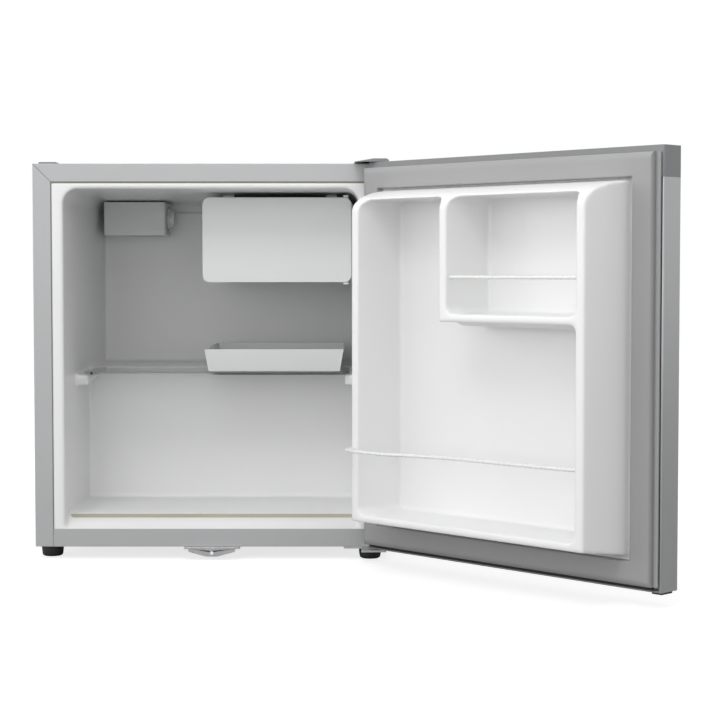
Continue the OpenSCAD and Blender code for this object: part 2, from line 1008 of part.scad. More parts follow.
module hinge_screws() {
    color("silver")
        from_front() {
            at_top_screws() {
                translate([0, 0, cabinet_height + top_plate])
                    cylinder(h = 1.4, d = screw_head);
                translate([0, 0, cabinet_height])
                    cylinder(h = top_plate + lap, d = 4);
            }
            at_bottom_screws() {
                translate([0, 0, -plate - 1.8])
                    cylinder(h = 1.8, d = screw_head);
                translate([0, 0, -plate - lap])
                    cylinder(h = plate + lap, d = 4);
            }
            at_catch_screws() {
                translate([0, 0, -3.8])
                    cylinder(h = 1.8, d = screw_head);
                translate([0, 0, -2.5])
                    cylinder(h = 2.5, d = 4);
            }
        }
}

module hinge_hole_cap() {
    color("dimgray")
        from_front()
            translate([-hinge_x + 7, 20, cabinet_height])
                linear_extrude(2.2)
                    round_rect([-11, -16], [11, 16], 4);
}

// Plate under the front edge with a hanging catch lug
module catch_bracket() {
    half = 35;
    lug_half = 29;
    color("silver")
        from_front() {
            difference() {
                block([-half, -8, -2], [half, 24, 0]);
                at_catch_screws()
                    translate([0, 0, -3])
                        cylinder(h = 4, d = 4);
            }
            difference() {
                along_y(-8, -6)
                    polygon([[-lug_half - 1, -1], [lug_half + 1, -1], [lug_half, -5.5], [7, -11.5], [-7, -11.5],
                        [-lug_half, -5.5]]);
                translate([0, -9, -7])
                    rotate([-90, 0, 0])
                        cylinder(h = 4, d = 4.5);
            }
        }
}

module foot_body(top) {
    rotate_extrude()
        polygon([
            [0, -foot_height], [foot_diameter / 2 - 3.4, -foot_height], [foot_diameter / 2 - 1.6, 1 - foot_height],
            [foot_diameter / 2 - 0.8, 3 - foot_height], [foot_diameter / 2, top - 5], [foot_diameter / 2, top], [0, top]
        ]);
}

module front_left_foot() {
    color("black")
        from_front()
            translate([foot_inset - half_width, left_foot_y, 0]) {
                foot_body(-0.3);
                translate([0, 0, -1])
                    cylinder(h = stud_length + 1, d = stud_diameter);
            }
}

module front_right_foot() {
    color("black")
        from_front()
            translate([half_width - right_foot_inset, right_foot_y, 0]) {
                foot_body(-plate - 0.3);
                translate([0, 0, -plate - 1])
                    cylinder(h = stud_length + plate + 1, d = stud_diameter);
            }
}

module rear_feet() {
    color("black")
        from_front()
            for (x = [-1, 1])
                translate([x * (half_width - rear_foot_inset), rear_foot_y, 0])
                    foot_body(bay_plate_z);
}

// ---------- door ----------

// Plan of the door body, smaller by g all round
module door_plan(g) {
    round_rect([g, g], [door_width - g, door_thickness - g], door_corner - g * 0.6);
}

module door_slab(g, low, high) {
    translate([0, 0, low])
        linear_extrude(high - low)
            door_plan(g);
}

module door_skin() {
    color("silver")
        on_door() {
            difference() {
                door_slab(0, door_bottom, skin_top);
                door_slab(sheet, door_bottom - lap, skin_top + lap);
                block([hem_width, -lap, door_bottom - lap],
                    [door_width - hem_width, sheet + lap, skin_top + lap]);
            }
            difference() {
                for (left = [sheet - 0.2, door_width - core_left])
                    block([left, channel_depth, cap_floor],
                        [left + core_left - sheet + 0.2, channel_depth + sheet, skin_top]);
                hinge_bore(boss_radius, door_bottom, boss_top);
            }
            difference() {
                for (left = [core_left - sheet, door_width - core_left])
                    block([left, 0, cap_floor], [left + sheet, channel_depth + lap, skin_top]);
                hinge_bore(boss_radius, door_bottom, boss_top);
            }
        }
}

module hinge_bore(r, low, high) {
    translate([hinge_inset, hinge_setback, low])
        cylinder(h = high - low, r = r);
}

bush_radius = pin_diameter / 2 + fit_clearance + bush_wall;

module door_top_cap() {
    color("gray")
        on_door()
            difference() {
                union() {
                    difference() {
                        door_slab(0, skin_top, door_top);
                        door_slab(cap_wall, skin_top - lap, door_top - cap_wall);
                        block([core_left, -lap, skin_top - lap],
                            [door_width - core_left, cap_wall + lap, gasket_high]);
                    }
                    hinge_bore(boss_radius, door_top - bush_length - 3, door_top - lap);
                }
                hinge_bore(bush_radius, door_top - bush_length, door_top + lap);
            }
}

module door_bottom_cap() {
    color("gray")
        on_door()
            difference() {
                union() {
                    door_slab(sheet, door_bottom, cap_floor);
                    block([core_left, 0, door_bottom], [door_width - core_left, door_thickness / 2, cap_floor]);
                    block([core_left, 0, door_bottom], [door_width - core_left, sheet, cap_floor + 1.8]);
                    hinge_bore(boss_radius, door_bottom, boss_top);
                }
                hinge_bore(bush_radius, door_bottom - lap, door_bottom + bush_length);
            }
}

module hinge_bushes() {
    color("white")
        on_door()
            difference() {
                union() {
                    hinge_bore(bush_radius, door_top - bush_length, door_top);
                    hinge_bore(bush_radius, door_bottom, door_bottom + bush_length);
                }
                hinge_bore(pin_diameter / 2 + fit_clearance, door_bottom - lap, door_top + lap);
            }
}

// Outer form of the door liner's raised part, smaller by g all round
module dyke_block(g) {
    front = g - dyke_depth;
    intersection() {
        along_x(liner_side, door_width - liner_side)
            polygon([
                [0, liner_low + g], [front, dyke_low + g],
                for (a = [0 : 15 : 90])
                    [front * cos(a) + g * sin(a), liner_high - g - dyke_top_slope * (1 - sin(a))]
            ]);
        translate([0, 0, liner_low])
            linear_extrude(liner_high - liner_low)
                polygon([[liner_side + g, 0], [dyke_left + g, front], [dyke_right - g, front],
                    [door_width - liner_side - g, 0]]);
        along_y(-dyke_depth - lap, lap)
            round_rect([liner_side + g, liner_low - dyke_corner], [door_width - liner_side - g, liner_high - g],
                dyke_corner - g);
    }
}

// The two storage pockets, grown by g all round
module pockets(g) {
    r = pocket_radius + g;
    along_y(-dyke_depth - lap, -liner_wall + g) {
        round_rect([pocket_left - g, pocket_low - g], [pocket_right + g, upper_shelf_low + g], r);
        round_rect([pocket_left - g, pocket_low - g], [upper_pocket_left - dyke_face + g, pocket_high + g], r);
        round_rect([upper_pocket_left - g, upper_shelf_low + upper_shelf_face - g],
            [pocket_right + g, pocket_high + g], r);
    }
}

module dyke_foam() {
    difference() {
        dyke_block(liner_wall);
        pockets(liner_wall);
    }
}

module door_liner() {
    color("white")
        on_door()
            difference() {
                union() {
                    block([core_left, -liner_wall, gasket_low], [door_width - core_left, 0, gasket_high]);
                    dyke_block(0);
                }
                pockets(0);
                dyke_foam();
            }
}

module door_foam() {
    color("khaki")
        on_door() {
            difference() {
                union() {
                    difference() {
                        door_slab(sheet, cap_floor, skin_top);
                        for (left = [0, door_width - core_left])
                            block([left, 0, door_bottom], [left + core_left, channel_depth + sheet, skin_top + lap]);
                    }
                    door_slab(cap_wall, skin_top, door_top - cap_wall);
                    block([core_left, 0, gasket_low], [door_width - core_left, cap_wall, gasket_high]);
                }
                hinge_bore(boss_radius, door_bottom, boss_top);
                hinge_bore(boss_radius, door_top - bush_length - 3, door_top);
            }
        }
}

module dyke_core() {
    color("khaki")
        on_door()
            dyke_foam();
}

module gasket_ring(inset, width) {
    left = gasket_hinge_inset + inset;
    right = door_width - gasket_free_inset - inset;
    difference() {
        round_rect([left, gasket_low + inset], [right, gasket_high - inset], 3);
        round_rect([left + width, gasket_low + inset + width], [right - width, gasket_high - inset - width], 2);
    }
}

// Keeps the gasket's outer edge on the hinge side inside the circle that clears the cabinet
module hinge_side_relief() {
    reach = door_gap + hinge_setback - 0.3;
    translate([hinge_inset, hinge_setback, gasket_low - lap])
        linear_extrude(gasket_high - gasket_low + 2 * lap)
            difference() {
                translate([-reach - hinge_inset, -2 * reach])
                    square([reach + hinge_inset, 2 * reach - hinge_setback - 4]);
                circle(reach);
            }
}

module door_gasket() {
    color("gray")
        on_door()
            difference() {
                union() {
                    along_y(gasket_front, -liner_wall)
                        gasket_ring(0, gasket_width);
                    along_y(-liner_wall - gasket_flange_depth, -liner_wall)
                        round_rect([door_width - gasket_free_inset - 5, gasket_low],
                            [door_width - gasket_free_inset + gasket_flange, gasket_high], 2);
                }
                along_y(gasket_front + 1, gasket_front + 4)
                    gasket_ring(magnet_inset, magnet_width);
                hinge_side_relief();
            }
}

module gasket_magnets() {
    color("dimgray")
        on_door()
            along_y(gasket_front + 1, gasket_front + 4)
                gasket_ring(magnet_inset, magnet_width);
}

module upper_door_bar() {
    color("white")
        on_door()
            rod([upper_pocket_left, bar_setback - dyke_depth, upper_bar_z],
                [pocket_right, bar_setback - dyke_depth, upper_bar_z], bar_diameter);
}

// Bottle bar that bulges out past the dykes on its hinge side
module lower_door_bar() {
    z = lower_bar_z;
    face = -dyke_depth;
    color("white")
        on_door()
            bent_rod([
                [dyke_left + 5, face, z], [dyke_left + 3, face - 14, z], [pocket_left + 20, face - 22, z],
                [pocket_left + 62, face - 22, z], [pocket_left + 112, face - 6, z],
                [pocket_left + 150, face + 1, z], [pocket_right - 12, face + 4, z],
                [pocket_right, face + 9, z]
            ], bar_diameter);
}

module door_pad() {
    color("black")
        on_door()
            block([door_width - 15, 4, door_bottom - 2.4], [door_width - 2, 24, door_bottom]);
}

outer_shell();
front_bottom_rail();
base_panel();
back_panel();
bay_panel();
cabinet_liner();
cabinet_foam();
evaporator();
evaporator_clips();
chiller_frame();
control_box();
thermostat();
sensing_tube();
compressor();
compressor_plate();
compressor_grommets();
compressor_bolts();
relay_box();
cord_gland();
condenser_tube();
condenser_wires();
condenser_clips();
wall_spacers();
filter_drier();
suction_tube();
discharge_tube();
drip_pan();
drain_spout();
top_hinge();
top_hinge_cover();
bottom_hinge();
hinge_screws();
hinge_hole_cap();
catch_bracket();
rear_feet();
door_skin();
door_top_cap();
door_bottom_cap();
door_liner();
door_foam();
dyke_core();
door_gasket();
gasket_magnets();
upper_door_bar();
lower_door_bar();
hinge_bushes();
door_pad();
chiller_flap();
drip_tray();
glass_shelf();
thermostat_knob();
front_left_foot();
front_right_foot();
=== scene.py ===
import json
import math

import bmesh
import bpy
from mathutils import Matrix, Vector


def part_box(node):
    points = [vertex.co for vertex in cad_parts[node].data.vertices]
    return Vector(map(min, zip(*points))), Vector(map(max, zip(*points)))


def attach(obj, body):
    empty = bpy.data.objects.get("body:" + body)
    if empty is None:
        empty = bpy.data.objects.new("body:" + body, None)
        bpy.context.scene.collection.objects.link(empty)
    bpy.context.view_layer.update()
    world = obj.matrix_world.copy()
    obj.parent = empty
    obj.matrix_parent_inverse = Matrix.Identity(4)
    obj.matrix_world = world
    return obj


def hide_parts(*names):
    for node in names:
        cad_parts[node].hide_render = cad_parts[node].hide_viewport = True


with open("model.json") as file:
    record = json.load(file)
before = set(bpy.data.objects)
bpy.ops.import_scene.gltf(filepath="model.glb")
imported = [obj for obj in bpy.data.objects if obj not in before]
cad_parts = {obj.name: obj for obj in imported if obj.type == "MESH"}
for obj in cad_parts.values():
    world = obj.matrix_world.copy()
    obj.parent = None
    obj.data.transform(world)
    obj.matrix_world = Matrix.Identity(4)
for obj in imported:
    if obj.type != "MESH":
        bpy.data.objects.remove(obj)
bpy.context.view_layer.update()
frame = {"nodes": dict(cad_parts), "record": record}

MM = 0.001
DEG = math.pi / 180

# ---------------------------------------------------------------- places from the frame

SHELL_LOW, SHELL_HIGH = (Vector(corner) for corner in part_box("outer_shell"))
FRONT = SHELL_LOW.y
HALF_WIDTH = SHELL_HIGH.x
HEIGHT = SHELL_HIGH.z
LINER_LOW, LINER_HIGH = (Vector(corner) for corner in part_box("cabinet_liner"))
FLOOR_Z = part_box("front_left_foot")[0][2]
HINGE = next(joint for joint in frame["record"]["behaviour"]["joints"] if joint["name"] == "door_hinge")
DOOR_OPEN = -HINGE["range_deg"][0] * DEG

LINER_WALL = 1.5 * MM
CAVITY_HALF = HALF_WIDTH - 37.5 * MM
CAVITY_TOP = HEIGHT - 31.3 * MM
CEILING_FALL = 5 * MM
CAVITY_BACK = LINER_HIGH.y - LINER_WALL
CAVITY_FLOOR = 38.5 * MM
SILL = LINER_LOW.z
STEP_FRONT = FRONT + 188 * MM
STEP_TOP = 216.5 * MM
CAVITY_RADIUS = 18 * MM

# Door frame: X from the hinge edge, Y outwards, Z up
DOOR_WIDTH = 446 * MM
HINGE_INSET = 11 * MM
HINGE_SETBACK = 11 * MM
DOOR_MATRIX = (
    Matrix.Translation(Vector((HINGE["pos_m"][0], HINGE["pos_m"][1], 0)))
    @ Matrix.Rotation(DOOR_OPEN, 4, "Z")
    @ Matrix.Translation(Vector((HINGE_INSET, HINGE_SETBACK, 0)))
    @ Matrix.Rotation(math.pi, 4, "Z")
)
GASKET_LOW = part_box("door_gasket")[0][2]
GASKET_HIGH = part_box("door_gasket")[1][2]
GASKET_WIDTH = 26 * MM
GASKET_LEFT = 1 * MM
GASKET_RIGHT = DOOR_WIDTH - 8 * MM
GASKET_FLANGE = 6 * MM
CORE_LEFT = 10 * MM
RAISED_LEFT = 40 * MM
RAISED_LOW = GASKET_LOW + GASKET_WIDTH + 4 * MM
RAISED_HIGH = GASKET_HIGH - GASKET_WIDTH - 3 * MM
DYKE_DEPTH = 75 * MM
DYKE_FACE = 11.6 * MM
DYKE_LEFT = RAISED_LEFT + 7 * MM
DYKE_RIGHT = DOOR_WIDTH - DYKE_LEFT
DYKE_LOW = RAISED_LOW + 10 * MM
DYKE_TOP_SLOPE = 27 * MM
POCKET_LEFT = DYKE_LEFT + DYKE_FACE
POCKET_RIGHT = DYKE_RIGHT - DYKE_FACE
POCKET_LOW = DYKE_LOW + 8.6 * MM
POCKET_HIGH = RAISED_HIGH - 14 * MM
UPPER_LEFT = POCKET_LEFT + 142 * MM
UPPER_LOW = POCKET_LOW + 232.5 * MM
UPPER_FACE = 9 * MM
POCKET_RADIUS = 9 * MM


# ---------------------------------------------------------------- camera, light and floor

LOW_SKY = 2.1
HIGH_SKY = 0.05
SKY_START = -0.1
SKY_END = 0.9
LEFT_SKY = 1.3
RIGHT_SKY = 0.55
KEY_POWER = 18
OVERHEAD_POWER = 21
FLOOR_SIZE = 12
FLOOR_GREY = 0.42
FLOOR_GLOW = 0.75
CAMERA_LENS = 89.65
CAMERA_PLACE = (0.186919, FRONT - 2.248119, 0.346119)
CAMERA_PITCH = 0.0495


def add_camera():
    data = bpy.data.cameras.new("camera")
    data.sensor_width = 36
    data.lens = CAMERA_LENS
    camera = bpy.data.objects.new("camera", data)
    camera.location = CAMERA_PLACE
    camera.rotation_euler = (math.pi / 2 - CAMERA_PITCH, 0, 0)
    bpy.context.scene.collection.objects.link(camera)
    bpy.context.scene.camera = camera


def add_area(name, place, target, size, power):
    data = bpy.data.lights.new(name, "AREA")
    data.shape = "RECTANGLE"
    data.size, data.size_y = size
    data.energy = power
    light = bpy.data.objects.new(name, data)
    light.location = place
    light.rotation_euler = (Vector(target) - Vector(place)).to_track_quat("-Z", "Y").to_euler()
    bpy.context.scene.collection.objects.link(light)


def add_light():
    """Soft gradient sky, seen as white by the camera alone, and two area lights."""
    world = bpy.data.worlds.new("studio")
    world.use_nodes = True
    nodes, links = world.node_tree.nodes, world.node_tree.links
    background = nodes["Background"]
    place = nodes.new("ShaderNodeTexCoord")
    split = nodes.new("ShaderNodeSeparateXYZ")
    links.new(place.outputs["Generated"], split.inputs["Vector"])
    height = nodes.new("ShaderNodeMapRange")
    height.inputs["From Min"].default_value = SKY_START
    height.inputs["From Max"].default_value = SKY_END
    height.inputs["To Min"].default_value = LOW_SKY
    height.inputs["To Max"].default_value = HIGH_SKY
    links.new(split.outputs["Z"], height.inputs["Value"])
    side = nodes.new("ShaderNodeMapRange")
    side.inputs["From Min"].default_value = -1.0
    side.inputs["To Min"].default_value = LEFT_SKY
    side.inputs["To Max"].default_value = RIGHT_SKY
    links.new(split.outputs["X"], side.inputs["Value"])
    strength = nodes.new("ShaderNodeMath")
    strength.operation = "MULTIPLY"
    links.new(height.outputs["Result"], strength.inputs[0])
    links.new(side.outputs["Result"], strength.inputs[1])
    seen = nodes.new("ShaderNodeLightPath")
    mix = nodes.new("ShaderNodeMix")
    mix.inputs["B"].default_value = 1.0
    links.new(seen.outputs["Is Camera Ray"], mix.inputs["Factor"])
    links.new(strength.outputs["Value"], mix.inputs["A"])
    links.new(mix.outputs["Result"], background.inputs["Strength"])
    background.inputs["Color"].default_value = (1, 1, 1, 1)
    bpy.context.scene.world = world
    middle = (0.15, 0, 0.2)
    add_area("key", (-0.35, -2.1, 2.3), middle, (1.3, 0.9), KEY_POWER)
    add_area("overhead", (0.2, -0.7, 2.6), (0.2, -0.3, 0), (1.8, 1.2), OVERHEAD_POWER)
    bpy.context.scene.view_settings.view_transform = "Standard"


def add_floor():
    """Pale plane under the feet, with a glow that the camera alone sees."""
    bpy.ops.mesh.primitive_plane_add(size=FLOOR_SIZE, location=(0, 0, FLOOR_Z))
    floor = bpy.context.object
    floor.name = "floor"
    material = bpy.data.materials.new("pale_floor")
    material.use_nodes = True
    nodes, links = material.node_tree.nodes, material.node_tree.links
    shader = nodes["Principled BSDF"]
    shader.inputs["Base Color"].default_value = (FLOOR_GREY, FLOOR_GREY, FLOOR_GREY, 1)
    shader.inputs["Roughness"].default_value = 0.8
    shader.inputs["Emission Color"].default_value = (1, 1, 1, 1)
    seen = nodes.new("ShaderNodeLightPath")
    glow = nodes.new("ShaderNodeMath")
    glow.operation = "MULTIPLY"
    glow.inputs[1].default_value = FLOOR_GLOW
    links.new(seen.outputs["Is Camera Ray"], glow.inputs[0])
    links.new(glow.outputs["Value"], shader.inputs["Emission Strength"])
    floor.data.materials.append(material)


# ---------------------------------------------------------------- materials

def make_material(name, colour, roughness, metallic=0.0, tint=0.03, grain=120.0, bump=0.05,
                  stretch=(1, 1, 1), wear=0.06, coat=0.0, transmission=0.0, ior=1.5, alpha=1.0):
    """One procedural surface: slow colour drift, fine grain in the bump and uneven polish."""
    material = bpy.data.materials.new(name)
    material.use_nodes = True
    nodes, links = material.node_tree.nodes, material.node_tree.links
    shader = nodes["Principled BSDF"]
    shader.inputs["Metallic"].default_value = metallic
    shader.inputs["IOR"].default_value = ior
    shader.inputs["Coat Weight"].default_value = coat
    shader.inputs["Transmission Weight"].default_value = transmission
    place = nodes.new("ShaderNodeTexCoord")
    scale = nodes.new("ShaderNodeMapping")
    scale.inputs["Scale"].default_value = stretch
    links.new(place.outputs["Object"], scale.inputs["Vector"])

    drift = nodes.new("ShaderNodeTexNoise")
    drift.inputs["Scale"].default_value = 7
    drift.inputs["Detail"].default_value = 3
    links.new(place.outputs["Object"], drift.inputs["Vector"])
    mix = nodes.new("ShaderNodeMix")
    mix.data_type = "RGBA"
    mix.inputs["A"].default_value = (*[c * (1 - tint) for c in colour], 1)
    mix.inputs["B"].default_value = (*[min(1, c * (1 + tint)) for c in colour], 1)
    links.new(drift.outputs["Fac"], mix.inputs["Factor"])
    links.new(mix.outputs["Result"], shader.inputs["Base Color"])

    fine = nodes.new("ShaderNodeTexNoise")
    fine.inputs["Scale"].default_value = grain
    fine.inputs["Detail"].default_value = 4
    links.new(scale.outputs["Vector"], fine.inputs["Vector"])
    polish = nodes.new("ShaderNodeMapRange")
    polish.inputs["To Min"].default_value = max(0.02, roughness - wear)
    polish.inputs["To Max"].default_value = roughness + wear
    links.new(fine.outputs["Fac"], polish.inputs["Value"])
    links.new(polish.outputs["Result"], shader.inputs["Roughness"])
    relief = nodes.new("ShaderNodeBump")
    relief.inputs["Strength"].default_value = bump
    relief.inputs["Distance"].default_value = 0.0004
    links.new(fine.outputs["Fac"], relief.inputs["Height"])
    links.new(relief.outputs["Normal"], shader.inputs["Normal"])
    return material


MATERIALS = {
    "painted_steel": make_material("painted_steel", (0.465, 0.47, 0.475), 0.42, 0.35, grain=900, bump=0.03),
    "zinc_steel": make_material("zinc_steel", (0.46, 0.47, 0.48), 0.45, 0.8, tint=0.12, grain=60, bump=0.05),
    "white_liner": make_material("white_liner", (0.845, 0.85, 0.845), 0.30, tint=0.012, grain=260, bump=0.02),
    "foam": make_material("foam", (0.45, 0.42, 0.33), 0.9, tint=0.15, grain=500, bump=0.6),
    "aluminium_sheet": make_material("aluminium_sheet", (0.72, 0.73, 0.74), 0.4, 0.9, grain=80, bump=0.05),
    "white_plastic": make_material("white_plastic", (0.77, 0.775, 0.775), 0.35, tint=0.012, grain=420,
                                   bump=0.03),
    "copper": make_material("copper", (0.62, 0.33, 0.2), 0.35, 1.0, tint=0.2, grain=90, bump=0.05),
    "black_enamel": make_material("black_enamel", (0.02, 0.02, 0.021), 0.35, tint=0.1, grain=200, bump=0.08),
    "black_rubber": make_material("black_rubber", (0.018, 0.018, 0.018), 0.75, grain=500, bump=0.2),
    "black_plastic": make_material("black_plastic", (0.02, 0.02, 0.021), 0.55, grain=700, bump=0.2),
    "bright_steel": make_material("bright_steel", (0.62, 0.62, 0.63), 0.28, 1.0, stretch=(1, 12, 1),
                                  grain=90),
    "dark_grey_plastic": make_material("dark_grey_plastic", (0.235, 0.24, 0.245), 0.5, grain=900, bump=0.12),
    "silver_skin": make_material("silver_skin", (0.45, 0.455, 0.46), 0.36, 0.75, stretch=(14, 14, 0.25),
                                 grain=160, bump=0.08, wear=0.08),
    "gasket_grey": make_material("gasket_grey", (0.335, 0.335, 0.335), 0.55, grain=300, bump=0.06),
    "magnet": make_material("magnet", (0.05, 0.05, 0.05), 0.7, grain=300, bump=0.1),
    "coated_wire": make_material("coated_wire", (0.80, 0.80, 0.80), 0.28, grain=300, bump=0.03),
    "clear_glass": make_material("clear_glass", (0.93, 0.975, 0.96), 0.03, tint=0.01, grain=40, bump=0.0,
                                 wear=0.01, transmission=1.0, ior=1.5),
}


# ---------------------------------------------------------------- mesh helpers

def link(name, mesh):
    piece = bpy.data.objects.new(name, mesh)
    bpy.context.scene.collection.objects.link(piece)
    return piece


def closed_mesh(name, verts, faces):
    """Mesh with its face normals turned outwards."""
    mesh = bpy.data.meshes.new(name)
    mesh.from_pydata(verts, [], faces)
    work = bmesh.new()
    work.from_mesh(mesh)
    bmesh.ops.recalc_face_normals(work, faces=work.faces)
    work.to_mesh(mesh)
    work.free()
    return mesh


def prism(outline, axis, low, high):
    """Closed prism of a 2-D outline: axis 0 reads it as YZ, 1 as XZ and 2 as XY."""
    def place(point, depth):
        a, b = point
        return ((depth, a, b), (a, depth, b), (a, b, depth))[axis]
    count = len(outline)
    verts = [place(p, low) for p in outline] + [place(p, high) for p in outline]
    faces = [list(range(count)), list(range(2 * count - 1, count - 1, -1))]
    faces += [[i, i + count, (i + 1) % count + count, (i + 1) % count] for i in range(count)]
    return link("prism", closed_mesh("prism", verts, faces))


def round_outline(low, high, radius, steps=8):
    """Rectangle between two corners with its own corners rounded."""
    points = []
    corners = ((high[0] - radius, high[1] - radius, 0), (low[0] + radius, high[1] - radius, 90),
               (low[0] + radius, low[1] + radius, 180), (high[0] - radius, low[1] + radius, 270))
    for x, y, start in corners:
        for step in range(steps + 1):
            angle = (start + 90 * step / steps) * DEG
            points.append((x + radius * math.cos(angle), y + radius * math.sin(angle)))
    return points


def cuboid(low, high):
    outline = [(low[0], low[2]), (high[0], low[2]), (high[0], high[2]), (low[0], high[2])]
    return prism(outline, 1, low[1], high[1])


def combine(target, other, operation):
    """Applies a boolean with the other piece and removes that piece."""
    change = target.modifiers.new("combine", "BOOLEAN")
    change.operation = operation
    change.object = other
    change.solver = "EXACT"
    settle(target)
    bpy.data.objects.remove(other)


def settle(piece):
    """Applies all modifiers on the piece."""
    graph = bpy.context.evaluated_depsgraph_get()
    graph.update()
    mesh = bpy.data.meshes.new_from_object(piece.evaluated_get(graph))
    piece.modifiers.clear()
    piece.data = mesh


def soften(piece, voxel, rounds):
    """Remeshes a sharp solid evenly and relaxes it, as a moulded sheet rounds its corners."""
    remesh = piece.modifiers.new("remesh", "REMESH")
    remesh.mode = "VOXEL"
    remesh.voxel_size = voxel
    smooth = piece.modifiers.new("smooth", "SMOOTH")
    smooth.factor = 0.5
    smooth.iterations = rounds
    settle(piece)


def drop_faces(piece, unwanted):
    """Deletes the faces that the test picks by centre and normal, and shades the rest smooth."""
    work = bmesh.new()
    work.from_mesh(piece.data)
    doomed = [face for face in work.faces if unwanted(face.calc_center_median(), face.normal)]
    bmesh.ops.delete(work, geom=doomed, context="FACES")
    for face in work.faces:
        face.smooth = True
    work.to_mesh(piece.data)
    work.free()


def finish_piece(piece, name, body, slot, *nodes):
    """Names the piece, gives it its material and body, and takes the place of any CAD nodes."""
    piece.name = name
    piece.data.name = name
    piece.data.materials.clear()
    piece.data.materials.append(MATERIALS[slot])
    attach(piece, body)
    if nodes:
        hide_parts(*nodes)


# ---------------------------------------------------------------- moulded liners

def cabinet_liner():
    """Moulded cavity liner with its front flange, the step over the bay and the shelf ribs."""
    flange = 14.7 * MM
    draft = 0.024
    before = FRONT - 10 * MM
    outside = CAVITY_HALF + flange
    top = CAVITY_TOP + 8.7 * MM
    body = cuboid((-outside, FRONT + 0.3 * MM, SILL - 5 * MM), (outside, CAVITY_BACK + 8 * MM, top))
    profile = [
        (before, SILL), (FRONT + 4 * MM, SILL + 1.5 * MM), (FRONT + 16 * MM, SILL + 9 * MM),
        (FRONT + 34 * MM, CAVITY_FLOOR - 1 * MM), (FRONT + 50 * MM, CAVITY_FLOOR),
        (STEP_FRONT, CAVITY_FLOOR), (STEP_FRONT, STEP_TOP), (CAVITY_BACK, STEP_TOP),
        (CAVITY_BACK, CAVITY_TOP - CEILING_FALL), (before, CAVITY_TOP),
    ]
    cavity = prism(profile, 0, -CAVITY_HALF, CAVITY_HALF)
    corners = round_outline((-CAVITY_HALF, -CAVITY_RADIUS), (CAVITY_HALF, CAVITY_TOP), CAVITY_RADIUS)
    combine(cavity, prism(corners, 1, before, CAVITY_BACK + 5 * MM), "INTERSECT")
    rib_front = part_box("glass_shelf")[0][1] + 4 * MM
    rib_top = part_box("glass_shelf")[0][2] - 0.2 * MM
    rib_inner = CAVITY_HALF - 17 * MM
    rib_back = STEP_FRONT + 2 * MM
    rib = [(rib_front, rib_top), (rib_back, rib_top), (rib_back, rib_top - 4 * MM),
           (rib_front + 4 * MM, rib_top - 14 * MM)]
    for low, high in ((-CAVITY_HALF - MM, -rib_inner), (rib_inner, CAVITY_HALF + MM)):
        combine(cavity, prism(rib, 0, low, high), "DIFFERENCE")
    combine(body, cavity, "DIFFERENCE")
    soften(body, 2.4 * MM, 7)
    for vertex in body.data.vertices:
        depth = min(1, max(0, (vertex.co.y - FRONT) / (CAVITY_BACK - FRONT)))
        if abs(vertex.co.x) < CAVITY_HALF + 4 * MM and vertex.co.z < CAVITY_TOP:
            vertex.co.x *= 1 - draft * depth
    drop_faces(body, lambda c, n: (abs(c.x) > outside - 4 * MM and abs(n.x) > 0.6)
               or (c.y > CAVITY_BACK + 5 * MM) or (c.z > top - 4 * MM and n.z > 0.6) or c.z < SILL - 1.5 * MM)
    finish_piece(body, "moulded_cabinet_liner", "cabinet", "white_liner", "cabinet_liner")


def door_liner():
    """Moulded door liner: the dykes round its two pockets and the sheet behind the seal."""
    front = -DYKE_DEPTH
    root = 4 * MM
    arc_steps = 12
    side = [(root, RAISED_HIGH), (root, RAISED_LOW), (0, RAISED_LOW), (front, DYKE_LOW)]
    for step in range(arc_steps + 1):
        angle = step * 90 / arc_steps * DEG
        side.append((front * math.cos(angle), RAISED_HIGH - DYKE_TOP_SLOPE * (1 - math.sin(angle))))
    raised = prism(side, 0, RAISED_LEFT, DOOR_WIDTH - RAISED_LEFT)
    plan = [(RAISED_LEFT, root), (DYKE_LEFT, front), (DYKE_RIGHT, front), (DOOR_WIDTH - RAISED_LEFT, root)]
    combine(raised, prism(plan, 2, RAISED_LOW, RAISED_HIGH), "INTERSECT")
    pockets = (
        ((POCKET_LEFT, POCKET_LOW), (POCKET_RIGHT, UPPER_LOW)),
        ((POCKET_LEFT, POCKET_LOW), (UPPER_LEFT - DYKE_FACE, POCKET_HIGH)),
        ((UPPER_LEFT, UPPER_LOW + UPPER_FACE), (POCKET_RIGHT, POCKET_HIGH)),
    )
    for low, high in pockets:
        pocket = prism(round_outline(low, high, POCKET_RADIUS), 1, front - 5 * MM, -LINER_WALL)
        combine(raised, pocket, "DIFFERENCE")
    ledge = [(-LINER_WALL, UPPER_LOW + 1 * MM), (front + 18 * MM, UPPER_LOW + 1 * MM),
             (front + 30 * MM, UPPER_LOW - 5 * MM), (-LINER_WALL, UPPER_LOW - 6 * MM)]
    combine(raised, prism(ledge, 0, UPPER_LEFT - DYKE_FACE + 8 * MM, POCKET_RIGHT + 2 * MM), "UNION")
    sheet = cuboid((CORE_LEFT, -LINER_WALL, GASKET_LOW), (DOOR_WIDTH - CORE_LEFT, 5 * MM, GASKET_HIGH))
    combine(raised, sheet, "UNION")
    soften(raised, 2.0 * MM, 5)
    drop_faces(raised, lambda c, n: c.y > 0.8 * MM)
    raised.data.transform(DOOR_MATRIX)
    finish_piece(raised, "moulded_door_liner", "door", "white_liner", "door_liner")


